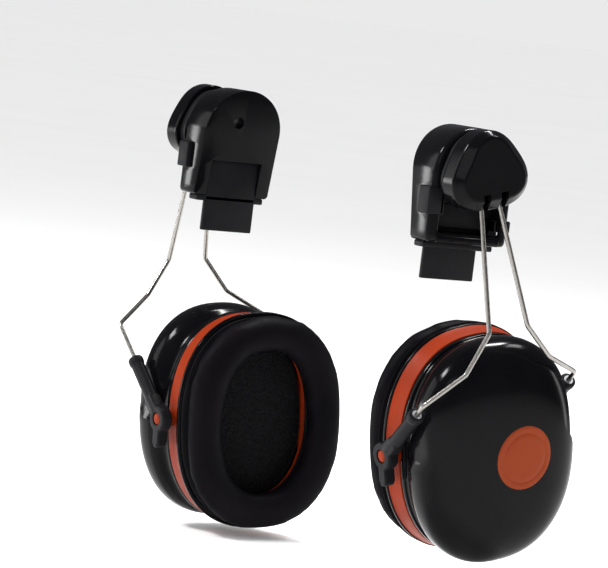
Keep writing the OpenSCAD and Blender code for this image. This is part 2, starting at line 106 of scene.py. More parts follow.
TAB_X, TAB_OUT, TAB_HOLE, LEAF_T = (103.2, 110.2), 2.5, 6.0, 2.0
FRONT_TAB_Z, REAR_TAB_Z, CLIP_Z = (-25.0, -12.0), (-36.0, -25.5), (-31.0, -20.0)
STUD_R, HOUSING_BOSS_R = 3.0, 8.5
CAP_X, CAP_TOP = 118.0, 131.0
HEAD_R, LOBE, HEAD_STRETCH, LOBE_DROP = 18.6, 1.6, 1.12, 3.0
CROWN_LOBE = 2.6
CAP_WALL, CAP_BEVEL, CAP_FIT = 2.2, 4.0, 0.87
EXIT_GAP, SLOT_HALF_W, SLOT_DEPTH, SLOT_TOP = 10.0, 2.0, 4.5, -12.0
COIL_R, COIL_WIRE, COIL_TURNS, SPRING_Z = 2.4, 0.3, 5, 10.0
SPRING_X, SPRING_LENGTH = 115.0, {"left": 8.5, "right": 6.96}


# ---- Frames of each side ----

def place_matrix(x, y, z, origin):
    """From a local frame in millimetres to the row frame in metres."""
    m = Matrix.Identity(4)
    for i, axis in enumerate((x, y, z)):
        for k in range(3):
            m[k][i] = axis[k] * MM
    for k in range(3):
        m[k][3] = origin[k]
    return m


def side_frames(side):
    out = SIDES[side]
    x = Vector((out, 0, 0))
    aft = Vector(joints[side + "_cup_tilt"]["axis"]).normalized() * out
    up = Vector((1, 0, 0)).cross(aft)
    pivot = Vector(joints[side + "_cup_tilt"]["pos_m"])
    hinge = Vector(joints[side + "_fork_swing"]["pos_m"])
    leg = -Vector(joints[side + "_arm_slide"]["axis"]).normalized()
    across = aft.cross(leg) * out
    fork_x = math.sin(LEG_ANGLE) * leg + math.cos(LEG_ANGLE) * across
    fork_z = math.cos(LEG_ANGLE) * leg - math.sin(LEG_ANGLE) * across
    lean = CUP_LEAN[side]
    cup_x = math.cos(lean) * x - math.sin(lean) * up
    cup_z = math.cos(lean) * up + math.sin(lean) * x
    return {
        "root": place_matrix(x, Vector((0, 1, 0)), Vector((0, 0, 1)), Vector()),
        "head": place_matrix(x, aft, up, Vector()),
        "fork": place_matrix(fork_x, aft, fork_z, hinge),
        "arms": place_matrix(fork_x, aft, fork_z, pivot),
        "cup": place_matrix(cup_x, aft, cup_z, pivot),
    }


FRAMES = {side: side_frames(side) for side in SIDES}


# ---- Shapes: each is (points, faces) ----

def loft(rings, loop=False):
    """A skin through rings of equal length, closed by a fan at each end or joined end to start."""
    rings = [np.asarray(r, float) for r in rings]
    n, count = len(rings[0]), len(rings)
    points = np.vstack(rings)
    faces = []
    for i in range(count if loop else count - 1):
        a, b = i * n, ((i + 1) % count) * n
        faces += [(a + j, a + (j + 1) % n, b + (j + 1) % n, b + j) for j in range(n)]
    if not loop:
        ends = [rings[0].mean(0), rings[-1].mean(0)]
        points = np.vstack([points, ends])
        first, last, b = len(points) - 2, len(points) - 1, (count - 1) * n
        faces += [(first, (j + 1) % n, j) for j in range(n)]
        faces += [(last, b + j, b + (j + 1) % n) for j in range(n)]
    return points, faces


def joined(*shapes):
    """Several shapes as one."""
    points, faces, base = [], [], 0
    for p, f in shapes:
        points.append(np.asarray(p, float))
        faces += [tuple(base + i for i in face) for face in f]
        base += len(p)
    return np.vstack(points), faces


def leaned(shape):
    """A shape drawn along a fork's leg, turned into the arms' frame."""
    c, s = math.cos(LEG_ANGLE), math.sin(LEG_ANGLE)
    turn = np.array([[c, 0, s], [0, 1, 0], [-s, 0, c]])
    return np.asarray(shape[0]) @ turn.T, shape[1]


def mirrored_y(shape, side):
    """A shape drawn at the rear, kept there (side 1) or moved to the front (side -1)."""
    return np.asarray(shape[0]) * np.array([1, side, 1]), shape[1]


AXES = {"x": (0, 1, 2), "y": (1, 2, 0), "z": (2, 0, 1)}


def lathe(profile, axis="x", centre=(0, 0, 0), sides=64):
    """A turned shape: profile gives (distance along the axis, radius)."""
    along, across, over = AXES[axis]
    a = 2 * np.pi * np.arange(sides) / sides
    rings = []
    for d, r in profile:
        ring = np.zeros((sides, 3))
        ring[:, along] = d
        ring[:, across] = r * np.cos(a)
        ring[:, over] = r * np.sin(a)
        rings.append(ring + np.array(centre))
    return loft(rings)


def rod(start, end, r, axis="x", centre=(0, 0, 0), edge=0.3):
    """A round rod with rounded edges."""
    e = min(edge, 0.45 * r)
    profile = [(start, r - e), (start + 0.3 * e, r - 0.3 * e), (start + e, r)]
    profile += [(end - e, r), (end - 0.3 * e, r - 0.3 * e), (end, r - e)]
    return lathe(profile, axis, centre)


def tube(path, r, sides=20):
    """A round tube with blunt ends, swept along a path without twisting."""
    path = np.asarray(path, float)
    tangents = np.gradient(path, axis=0)
    tangents /= np.linalg.norm(tangents, axis=1)[:, None]
    normal = np.cross(tangents[0], [0, 1, 0])
    if np.linalg.norm(normal) < 0.1:
        normal = np.cross(tangents[0], [1, 0, 0])
    a = 2 * np.pi * np.arange(sides) / sides
    rings = []
    for p, t in zip(path, tangents):
        normal = normal - t * (normal @ t)
        normal /= np.linalg.norm(normal)
        side = np.cross(t, normal)
        rings.append(p + r * (np.outer(np.cos(a), normal) + np.outer(np.sin(a), side)))
    tips = []
    for ring, out in ((rings[0], -tangents[0]), (rings[-1], tangents[-1])):
        centre = ring.mean(0)
        tips.append(centre + (ring - centre) * 0.6 + out * 0.35 * r)
    return loft([tips[0]] + rings + [tips[1]])


def filleted(points, radius, steps=8):
    """A path through points whose corners are rounded."""
    points = [np.array(p, float) for p in points]
    path = [points[0]]
    for before, corner, after in zip(points, points[1:], points[2:]):
        u = (before - corner) / np.linalg.norm(before - corner)
        v = (after - corner) / np.linalg.norm(after - corner)
        half = 0.5 * math.acos(np.clip(u @ v, -1, 1))
        reach = min(radius / math.tan(half), 0.45 * np.linalg.norm(before - corner))
        a, b = corner + u * reach, corner + v * reach
        for k in range(steps + 1):
            t = k / steps
            path.append((1 - t) ** 2 * a + 2 * t * (1 - t) * corner + t ** 2 * b)
    path.append(points[-1])
    dense = [path[0]]
    for a, b in zip(path, path[1:]):
        pieces = max(1, int(np.linalg.norm(b - a) / 6))
        dense += [a + (b - a) * (k + 1) / pieces for k in range(pieces)]
    return np.array(dense)


def temporary(shape, unit=1.0):
    """An object that modifiers can work on."""
    mesh = bpy.data.meshes.new("temporary")
    mesh.from_pydata((np.asarray(shape[0]) * unit).tolist(), [], shape[1])
    turn_outwards(mesh)
    ob = bpy.data.objects.new("temporary", mesh)
    scene.collection.objects.link(ob)
    return ob


def turn_outwards(mesh):
    bm = bmesh.new()
    bm.from_mesh(mesh)
    bmesh.ops.recalc_face_normals(bm, faces=bm.faces)
    bm.to_mesh(mesh)
    bm.free()


def taken(ob, unit=1.0):
    """The shape of an object with its modifiers; the object is removed."""
    graph = bpy.context.evaluated_depsgraph_get()
    mesh = bpy.data.meshes.new_from_object(ob.evaluated_get(graph))
    points = np.array([v.co for v in mesh.vertices], float) / unit
    faces = [tuple(p.vertices) for p in mesh.polygons]
    bpy.data.objects.remove(ob)
    bpy.data.meshes.remove(mesh)
    return points, faces


def modified(shape, *modifiers):
    ob = temporary(shape)
    for kind, settings in modifiers:
        m = ob.modifiers.new(kind, kind)
        for key, value in settings.items():
            setattr(m, key, value)
    return taken(ob)


def rounded(shape, width):
    settings = {"width": width, "segments": 3, "limit_method": "ANGLE"}
    settings.update(angle_limit=math.radians(30), harden_normals=False)
    return modified(shape, ("BEVEL", settings))


def cut(shape, *tools):
    """A shape less its tools."""
    ob = temporary(shape)
    helpers = []
    for tool in tools:
        helper = temporary(tool)
        m = ob.modifiers.new("cut", "BOOLEAN")
        m.operation, m.solver, m.object = "DIFFERENCE", "EXACT", helper
        helpers.append(helper)
    result = taken(ob)
    for helper in helpers:
        bpy.data.objects.remove(helper)
    return result


def fused(shapes, voxel, smoothing):
    """Shapes grown together into one moulding with soft inner corners."""
    return modified(
        joined(*shapes),
        ("REMESH", {"mode": "VOXEL", "voxel_size": voxel}),
        ("SMOOTH", {"factor": 0.5, "iterations": smoothing}),
    )


def block(low, high, edge):
    """A block between two corners, with its edges rounded where edge isn't 0."""
    x0, y0, z0 = low
    x1, y1, z1 = high
    outline = [(y0, z0), (y1, z0), (y1, z1), (y0, z1)]
    shape = loft([[(x, y, z) for y, z in outline] for x in (x0, x1)])
    quads = shape[1][:4] + [(3, 2, 1, 0), (4, 5, 6, 7)]
    box = (shape[0][:8], quads)
    return rounded(box, edge) if edge else box


# ---- Oval outlines of the cup ----

def bulge(t):
    return np.sign(t) * np.abs(t) ** (2 / OVAL_POWER)


def oval_ring(x, w, h, shift=CUP_SHIFT):
    """An outline between an ellipse and a rectangle, w and h from its middle to its edges."""
    a = 2 * np.pi * (np.arange(AROUND) + 0.5) / AROUND
    y, z = w * bulge(np.cos(a)) + shift[0], h * bulge(np.sin(a)) + shift[1]
    return np.column_stack([np.full(AROUND, float(x)), y, z])


def oval_band(profile, size):
    """A closed band round the cup: profile gives (x, inset from the outline)."""
    return loft([oval_ring(x, size[0] - i, size[1] - i) for x, i in profile], loop=True)


def smooth_path(points, steps):
    """A Catmull-Rom curve through rows of numbers."""
    p = np.asarray(points, float)
    p = np.vstack([2 * p[0] - p[1], p, 2 * p[-1] - p[-2]])
    rows = []
    for i in range(1, len(p) - 2):
        for t in np.arange(steps) / steps:
            a, b, c, d = p[i - 1], p[i], p[i + 1], p[i + 2]
            rows.append(0.5 * (2 * b + (c - a) * t + (2 * a - 5 * b + 4 * c - d) * t ** 2
                               + (3 * b - a - 3 * c + d) * t ** 3))
    return np.array(rows + [p[-2]])


def clamp_side(points, limit, soft=0.8):
    """Holds |y| under a limit, which may differ from point to point, with a soft corner."""
    y = points[:, 1]
    excess = np.abs(y) - limit
    held = np.abs(y) - soft * np.logaddexp(0, excess / soft)
    points[:, 1] = np.sign(y) * np.where(excess > -6 * soft, held, np.abs(y))
    return points


# ---- Shapes of the cup ----

BELLY_X, APEX_X, DOME_POWER = 19.8, 39.8, 2.75
DOME_SIZE = (44.0, 55.0)
DOME_SHIFT, FACE_SHIFT = (2.2, -0.8), (8.0, -1.0)
# The neck of the shell: x, half width, half height, rearward and upward shift
NECK = [
    (2.4, 43.2, 53.0, 6.0, -2.5), (2.7, 43.6, 53.4, 6.0, -2.5), (4.2, 44.0, 53.8, 6.0, -2.5),
    (5.6, 43.8, 53.6, 6.0, -2.5), (5.9, 43.0, 52.8, 5.8, -2.4), (7.6, 42.2, 52.2, 5.2, -2.2),
    (9.4, 41.9, 52.3, 4.4, -1.9), (11.0, 42.2, 52.9, 3.7, -1.5), (13.0, 42.9, 53.8, 3.0, -1.2),
    (16.5, 43.7, 54.7, 2.3, -0.9), (BELLY_X, 44.0, 55.0, 2.2, -0.8),
]


def dome_row(angle, inset=0.0):
    """One cross-section of the dome, from its belly (0) to its face (90 degrees)."""
    rise, shrink = math.sin(angle) ** (2 / DOME_POWER), math.cos(angle) ** (2 / DOME_POWER)
    ease = rise ** 4
    shift = [a + (b - a) * ease for a, b in zip(DOME_SHIFT, FACE_SHIFT)]
    x = BELLY_X + (APEX_X - inset - BELLY_X) * rise
    return x, (DOME_SIZE[0] - inset) * shrink, (DOME_SIZE[1] - inset) * shrink, *shift


def recess_distance(x, z):
    """Distance outside the room that each arm needs beside the shell: a fan, an eye and a foot."""
    r, a = np.hypot(x, z), np.degrees(np.arctan2(z, x))
    middle, half_angle, reach = 42.5, 37.5, ARM_TOP + 6
    off_angle = np.maximum(0, np.abs(a - middle) - half_angle)
    wedge = np.maximum(r - reach, r * np.sin(np.radians(np.minimum(off_angle, 90))))
    eye = r - (EYE_R + 2)
    foot = np.maximum(np.abs(x + 1) - 8, np.maximum(-19 - z, z - 1))
    return np.minimum(np.minimum(wedge, eye), foot)


def outer_shell():
    wall = SHELL_WALL
    neck = smooth_path(NECK, 5)
    angles = np.radians(np.linspace(0, 88.5, 34))[1:]
    dome = [dome_row(a) for a in angles]
    inner = [dome_row(a, wall) for a in angles[::-2]]
    inner += [(x, w - wall, h - wall, dy, dz) for x, w, h, dy, dz in neck[::-3]]
    inner[-1] = (NECK[0][0], 39.4, 48.6, *CUP_SHIFT)
    rings = []
    for hollow, rows in ((True, inner), (False, list(neck) + dome)):
        for x, w, h, dy, dz in rows:
            ring = oval_ring(x, w, h, (dy, dz))
            outside = np.maximum(0, recess_distance(ring[:, 0], ring[:, 2]))
            limit = RECESS_FLOOR + outside * 1.1
            rings.append(clamp_side(ring, limit - (wall if hollow else 0)))
    return loft(rings)


def mid_ring():
    """The orange ring, with its web at the cushion's end and two bosses for the pins."""
    outer_points, inner_points = 7, 8
    profile = [(SHELL_X, 1.4), (2.2, 1.0), (0.0, 0.8), (-3.5, 0.5), (-6.8, 0.12), (-7.2, 0.0),
               (RING_X, 0.4), (RING_X, 13.5), (-7.2, 13.9), (-6.4, 13.9), (-6.2, 13.5), (-6.2, 6.8),
               (-5.6, 6.0), (2.2, 6.0), (SHELL_X, 5.7)]
    points, faces = oval_band(profile, RING_SIZE)
    near = np.abs(points[:, 2]) - FLAT_HALF_H
    limit = SIDE_FLAT + np.maximum(0, near) * 1.2
    limit = limit - np.repeat([0.0, RING_WALL], [outer_points * AROUND, inner_points * AROUND])
    points = clamp_side(points, limit, 0.3)
    boss = rod(SIDE_FLAT - PIN_BOSS_L, SIDE_FLAT, PIN_BOSS_R, "y")
    return joined((points, faces), mirrored_y(boss, -1), mirrored_y(boss, 1))


def base_flange():
    profile = [(RING_X, 0.5), (-7.55, 0.15), (-7.9, 0.0), (-8.9, 0.0), (-9.25, 0.15), (FLANGE_X, 0.5),
               (FLANGE_X, 11.0), (-9.1, 11.3), (-7.7, 11.3), (RING_X, 11.0)]
    return oval_band(profile, FLANGE_SIZE)


def cushion_backplate():
    front = CUSHION_X[1]
    profile = [(FLANGE_X, 0.4), (-9.6, 0.0), (-10.7, 0.0), (front, 0.4), (front, 13.1),
               (-10.7, 13.4), (-9.6, 13.4), (FLANGE_X, 13.1)]
    return oval_band(profile, PLATE_SIZE)


def cushion_section(slack):
    """The cushion's cross-section, full at the ear side and flatter at its back, drawn in by slack."""
    middle = 0.5 * sum(CUSHION_X)
    half_x = 0.5 * (CUSHION_X[1] - CUSHION_X[0]) - slack
    half_w = 0.5 * (CUSHION_SIZE[0] - EAR_HOLE[0]) - slack
    rows = []
    for a in 2 * np.pi * np.arange(28) / 28:
        power = 2.15 if math.cos(a) < 0 else 3.4
        x = middle + half_x * np.sign(math.cos(a)) * abs(math.cos(a)) ** (2 / power)
        rows.append((x, half_w * np.sign(math.sin(a)) * abs(math.sin(a)) ** (2 / 2.3)))
    return rows


def cushion_ring():
    slack = 1.0
    mid = [0.5 * (a + b) for a, b in zip(CUSHION_SIZE, EAR_HOLE)]
    rings = [oval_ring(x, mid[0] + o, mid[1] + 0.94 * o) for x, o in cushion_section(slack)]
    shape = loft(rings, loop=True)
    return inflated(shape)


def inflated(shape, voxel=4.0, pressure=4.0, cap=1.1):
    """The cushion's skin after its foam has pushed it out, by cloth simulation."""
    ob = temporary(modified(shape, ("REMESH", {"mode": "VOXEL", "voxel_size": voxel})), MM)
    before = np.array([v.co for v in ob.data.vertices], float)
    cloth = ob.modifiers.new("Cloth", "CLOTH")
    cloth.settings.use_pressure = True
    cloth.settings.uniform_pressure_force = pressure
    cloth.settings.effector_weights.gravity = 0
    cloth.point_cache.frame_start, cloth.point_cache.frame_end = 1, 20
    for step in range(1, 21):
        scene.frame_set(step)
    evaluated = ob.evaluated_get(bpy.context.evaluated_depsgraph_get())
    after = np.array([v.co for v in evaluated.data.vertices], float)
    scene.frame_set(1)
    push = after - before
    length = np.linalg.norm(push, axis=1)
    push *= np.minimum(1, cap * MM / np.maximum(length, 1e-9))[:, None]
    ob.modifiers.clear()
    ob.data.vertices.foreach_set("co", (before + push).astype(np.float32).ravel())
    for kind, settings in (("SMOOTH", {"iterations": 5}), ("SUBSURF", {"levels": 1})):
        m = ob.modifiers.new(kind, kind)
        for key, value in settings.items():
            setattr(m, key, value)
    return taken(ob, MM)


def seam(x, inset, r=0.32):
    """The welded seam of the cushion's skin, as a fine bead along an oval."""
    ring = oval_ring(x, CUSHION_SIZE[0] - inset, CUSHION_SIZE[1] - inset)
    path = np.vstack([ring[-1:], ring, ring[:1]])
    tangents = path[2:] - path[:-2]
    tangents /= np.linalg.norm(tangents, axis=1)[:, None]
    a = 2 * np.pi * np.arange(8) / 8
    outwards = np.cross(tangents, [1.0, 0, 0])
    rings = [
        p + r * (np.outer(np.cos(a), o) + np.outer(np.sin(a), [1.0, 0, 0]))
        for p, o in zip(ring, outwards)
    ]
    return loft(rings, loop=True)


def foam_plate(x0, x1, sizes, shifts, depth, grain, shade_lip=0.0):
    """A block of open-cell foam with rounded edges, an uneven surface and a lip round its front; the lip
    is painted shade, a dark foam rim laid over what lies in shadow behind it.
    """
    rows = []
    for x, scale in ((x0, 0.0), (x0, 0.35), (x0, 0.7), (x0, 0.9), (x0 + 0.4, 0.97), (x0 + 1.4, 1.0),
                     (x1 - 1.4, 1.0), (x1 - 0.4, 0.97), (x1, 0.9), (x1, 0.7), (x1, 0.35), (x1, 0.0)):
        t = (x - x0) / (x1 - x0)
        w, h = (a + (b - a) * t for a, b in zip(*sizes))
        dy, dz = (a + (b - a) * t for a, b in zip(*shifts))
        # The lip widens the front rows: painted shade, a dark rim over the orange ring's web where that
        # lies in shadow
        out = shade_lip if scale > 0.8 and x < x0 + 1 else 0.0
        rows.append(oval_ring(x, w * max(scale, 0.04) + out, h * max(scale, 0.04) + out, (dy, dz)))
    points, faces = modified(loft(rows), ("SUBSURF", {"levels": 1}))
    rough = np.array([noise.noise(Vector(p) * grain) for p in points])
    centre = points.mean(0)
    inward = centre - points
    inward /= np.linalg.norm(inward, axis=1)[:, None]
    return points + inward * (depth * (0.5 + 0.5 * rough))[:, None], faces


def badge():
    """A plain round badge that follows the shell's face, with a ring-shaped groove."""
    radius, stand = 15.5, 0.45
    rows = [(0.02, 0), (0.3, 0), (0.6, 0), (0.74, 0), (0.76, -0.18), (0.8, -0.18), (0.82, 0),
            (0.96, 0), (0.985, -0.12), (1.0, -0.4), (1.0, -0.9)]
    sides = 96
    a = 2 * np.pi * np.arange(sides) / sides
    rings = []
    for share, drop in rows:
        y, z = radius * share * np.cos(a), radius * share * np.sin(a)
        far = (np.abs(y / DOME_SIZE[0]) ** OVAL_POWER
               + np.abs(z / DOME_SIZE[1]) ** OVAL_POWER) ** (1 / OVAL_POWER)
        x = BELLY_X + (APEX_X - BELLY_X) * (1 - far ** DOME_POWER) ** (1 / DOME_POWER)
        rings.append(np.column_stack([x + stand + drop, y + FACE_SHIFT[0], z + FACE_SHIFT[1]]))
    back = rings[-1].copy()
    back[:, 1:] = (back[:, 1:] - FACE_SHIFT) * 0.05 + FACE_SHIFT
    return loft(rings + [back])


def pivot_pin(side):
    head_in = EYE_OUT - HEAD_RECESS
    profile = [(SIDE_FLAT - PIN_BOSS_L, PIN_R - 0.4), (SIDE_FLAT - 4.6, PIN_R), (head_in, PIN_R),
               (head_in, PIN_HEAD_R - 0.15), (head_in + 0.15, PIN_HEAD_R)]
    for a in np.radians([0, 20, 40, 60, 78]):
        profile.append((head_in + 0.25 + 0.95 * math.sin(a), PIN_HEAD_R * math.cos(a) ** 0.8))
    return mirrored_y(lathe(profile, "y", sides=48), side)


# ---- Shapes of the arms and the fork ----

def arm(side):
    """An arm: its tube, collar and neck along the leg, its eye round the pin and its tail."""
    on_leg = (0, ARM_Y, 0)
    leg = [
        rod(4, ARM_TOP, ARM_R, "z", on_leg, 0.5),
        rod(ARM_TOP - 4, ARM_TOP, ARM_R + 0.5, "z", on_leg, 0.6),
        block((-ARM_R, EYE_IN, 0), (ARM_R, EYE_OUT, 13), 0),
        block((-2.4, EYE_IN + 0.4, 10), (2.4, EYE_OUT - 0.4, 30), 0),
    ]
    shapes = [leaned(s) for s in leg]
    shapes.append(rod(EYE_IN, EYE_OUT, EYE_R, "y", edge=0.7))
    shapes.append(rod(EYE_IN, EYE_OUT, TAIL_R, "y", EYE_TAIL, 0.7))
    x, _, z = EYE_TAIL
    shapes.append(block((x - TAIL_R, EYE_IN, z), (x + TAIL_R, EYE_OUT, 0), 0))
    body = fused(shapes, 0.5, 5)
    bore_foot, mouth = ARM_TOP - LEG_GRIP - 1, ARM_TOP + 2
    pin_bore, head_bore = PIN_R + PLAY, PIN_HEAD_R + GAP
    tools = [
        leaned(lathe([(bore_foot, LEG_BORE_R), (mouth, LEG_BORE_R)], "z", on_leg)),
        leaned(lathe([(ARM_TOP - SLEEVE_L, SLEEVE_R), (mouth, SLEEVE_R)], "z", on_leg)),
        lathe([(EYE_IN - 1, pin_bore), (EYE_OUT + 1, pin_bore)], "y"),
        lathe([(EYE_OUT - HEAD_RECESS - GAP, head_bore), (EYE_OUT + 1, head_bore)], "y"),
    ]
    return mirrored_y(cut(body, *tools), side)


# Fork wire, as [fore-aft distance, height from the swivel axis, outward distance]
WIRE_BENDS = [(5, -7, 0), (5, -17.3, 0), (11, -76.5, 8), (24, -94, 5.5), (44, -106.3, -2.1)]
LEG_END = LEG_PIVOT - (ARM_TOP - LEG_GRIP)


def fork_wire(side):
    path = [(n, side * s, z - HINGE_Z) for s, z, n in WIRE_BENDS]
    last = np.array(path[-1])
    leg = np.array([-math.sin(LEG_ANGLE), 0, -math.cos(LEG_ANGLE)])
    return tube(filleted(path + [last + LEG_END * leg], 4.0), WIRE_R)


def pressure_spring(length):
    path = []
    for t in np.linspace(0, 1, COIL_TURNS * 24 + 1):
        a = 2 * np.pi * COIL_TURNS * t
        x = SPRING_X + COIL_WIRE + (length - 2 * COIL_WIRE) * t
        path.append((x, COIL_R * math.cos(a), SPRING_Z + COIL_R * math.sin(a)))
    return tube(path, COIL_WIRE, 12)


# ---- Shapes of the head and the adapter ----

def head_ring(x, scale, inset=0.0, lobe=LOBE):
    """The head's three-lobed outline, scaled and drawn in."""
    a = 2 * np.pi * np.arange(AROUND) / AROUND
    r = scale * (HEAD_R + lobe * np.cos(3 * (a - np.pi / 2))) - inset
    y, z = HEAD_STRETCH * r * np.cos(a), r * np.sin(a) - LOBE_DROP * scale
    return np.column_stack([np.full(AROUND, float(x)), y, z])


def head_cap():
    """The three-lobed cap, from its hollow round its rim to its crown: rows of (x, scale, inset)."""
    roof, top = CAP_TOP - CAP_WALL, CAP_TOP - CAP_BEVEL
    body = [(roof, 0.2, 0), (roof, 0.6, 0), (roof, 0.82, 0),
            (top - 0.5, CAP_FIT, 0), (CAP_X, CAP_FIT, 0), (CAP_X, 1.0, 0.4), (CAP_X + 0.3, 1.0, 0.1),
            (CAP_X + 0.8, 1.0, 0), (CAP_X + 1.4, 1.0, 0), (top - 1.2, 1.0, 0), (top - 0.6, 1.0, 0),
            (top - 0.1, 1.0, 0.12), (top + 0.3, 0.985, 0), (top + 0.7, 0.965, 0)]
    crown = [(CAP_TOP - 0.9, 0.835, 0), (CAP_TOP - 0.5, 0.815, 0), (CAP_TOP - 0.12, 0.795, 0.1),
             (CAP_TOP, 0.775, 0.2), (CAP_TOP, 0.74, 0.2), (CAP_TOP, 0.6, 0), (CAP_TOP, 0.3, 0),
             (CAP_TOP, 0.06, 0)]
    rings = [head_ring(*row) for row in body] + [head_ring(*row, lobe=CROWN_LOBE) for row in crown]
    shell = loft(rings)
    slots = []
    for y in (-EXIT_GAP / 2, EXIT_GAP / 2):
        low = (FORK_X - SLOT_DEPTH, y - SLOT_HALF_W, -30)
        slots.append(block(low, (CAP_TOP + 1, y + SLOT_HALF_W, SLOT_TOP), 0))
    return cut(shell, *slots)


def arch_ring(x, inset, corner=2.0):
    """The adapter's arched outline, drawn in from its edge, with rounded lower corners; its back leans."""
    r = ARCH_R - inset
    low = inset - HOUSING_DROP
    a = np.linspace(0, np.pi, 49)
    points = [(r * math.cos(t), ARCH_Z + r * math.sin(t)) for t in a]
    points += [(-r, z) for z in np.linspace(ARCH_Z, low + corner, 9)[1:]]
    for t in np.radians(np.linspace(180, 270, 7))[1:]:
        points.append((-r + corner + corner * math.cos(t), low + corner + corner * math.sin(t)))
    points += [(y, low) for y in np.linspace(-r + corner, r - corner, 13)[1:]]
    for t in np.radians(np.linspace(270, 360, 7))[1:]:
        points.append((r - corner + corner * math.cos(t), low + corner + corner * math.sin(t)))
    points += [(r, z) for z in np.linspace(low + corner, ARCH_Z, 9)[1:-1]]
    lean = BACK_LEAN if x < FACE_X + 1 else 0
    return [(x - lean * (z + HOUSING_DROP), y + HOUSING_DY, z) for y, z in points]


def adapter_housing():
    """The housing: rows of (x, inset) over its back, its edge, its rim and its inside."""
    front = FRONT_X - EDGE_BEVEL
    rows = [(FACE_X, 0.6), (FACE_X + 0.2, 0.15), (FACE_X + 0.7, 0.0), (front - 0.5, 0.0)]
    rows += [(front + EDGE_BEVEL * math.sin(a), EDGE_BEVEL * (1 - math.cos(a)))
             for a in np.radians([15, 30, 45, 60, 75, 88])]
    rows += [(FRONT_X, 2.9), (FRONT_X, 4.3), (FRONT_X - 0.15, 4.6), (FRONT_X - 0.5, 4.7),
             (FLOOR_X + 1.0, 4.9), (FLOOR_X + 0.3, 5.2), (FLOOR_X, 6.0), (FLOOR_X, 10.0),
             (FLOOR_X, 16.0), (FLOOR_X, 21.0)]
    shell = loft([arch_ring(x, i, max(0.3, 2.0 - 0.05 * i)) for x, i in rows])
    boss = rod(FLOOR_X - 1, FRONT_X, HOUSING_BOSS_R, "x", edge=0.5)
    ledge = block((FACE_X + 1, HOUSING_DY - 18, -HOUSING_DROP + 0.02),
                  (FRONT_X + 0.6, HOUSING_DY + 18, 3.5 - HOUSING_DROP), 0.9)
    behind, before = FACE_X - 9, FRONT_X + 1
    fore, aft = HOUSING_DY - ARCH_R, HOUSING_DY + ARCH_R
    tools = [
        block((behind, HOUSING_DY - BLADE_HALF_W, -HOUSING_DROP - 1),
              (FACE_X + BLADE_T, HOUSING_DY + BLADE_HALF_W, POCKET_Z), 0),
        block((TAB_X[0], fore - 1, FRONT_TAB_Z[0]), (before, fore + TAB_HOLE, FRONT_TAB_Z[1]), 0),
        block((TAB_X[0], aft - TAB_HOLE, REAR_TAB_Z[0]), (TAB_X[1], aft + 1, REAR_TAB_Z[1]), 0),
        lathe([(behind, STUD_R), (before, STUD_R)], "x"),
    ]
    return joined(*[cut(s, *tools) for s in (shell, boss, ledge)])


def slot_blade():
    blade = block((FACE_X, HOUSING_DY - BLADE_HALF_W, BLADE_LOW),
                  (FACE_X + BLADE_T, HOUSING_DY + BLADE_HALF_W, POCKET_Z), 0.7)
    shoulder = block((FACE_X, HOUSING_DY - 20, -HOUSING_DROP - 3),
                     (FACE_X + 8, HOUSING_DY + 20, -HOUSING_DROP), 0.8)
    return joined(blade, shoulder)


def lock_clip():
    """The clip: a bridge across the housing's floor, and a leaf with its tab at each side."""
    inner, outer = ARCH_R - EDGE_BEVEL - HOUSING_WALL, ARCH_R + TAB_OUT
    y = HOUSING_DY
    fore, aft = y - inner + LEAF_T, y + inner - LEAF_T
    foot, top = CLIP_Z[0], REAR_TAB_Z[1]
    return joined(
        block((FLOOR_X, y - inner, foot), (FLOOR_X + 1.7, y + inner, CLIP_Z[1]), 0.35),
        block((FLOOR_X, y - inner, FRONT_TAB_Z[0]), (FRONT_X, fore, FRONT_TAB_Z[1]), 0.35),
        block((TAB_X[0], y - outer, FRONT_TAB_Z[0]), (FRONT_X, fore, FRONT_TAB_Z[1]), 0.7),
        block((FLOOR_X, aft, foot), (TAB_X[1], y + inner, top), 0.35),
        block((TAB_X[0], aft, foot), (TAB_X[1], y + outer, top), 0.7),
    )


# ---- Materials ----

def srgb(r, g, b):
    """A colour given in 0 to 255, as the linear values that Blender takes."""
    return tuple(((c / 255 + 0.055) / 1.055) ** 2.4 if c > 10 else c / 3294.6 for c in (r, g, b)) + (1,)


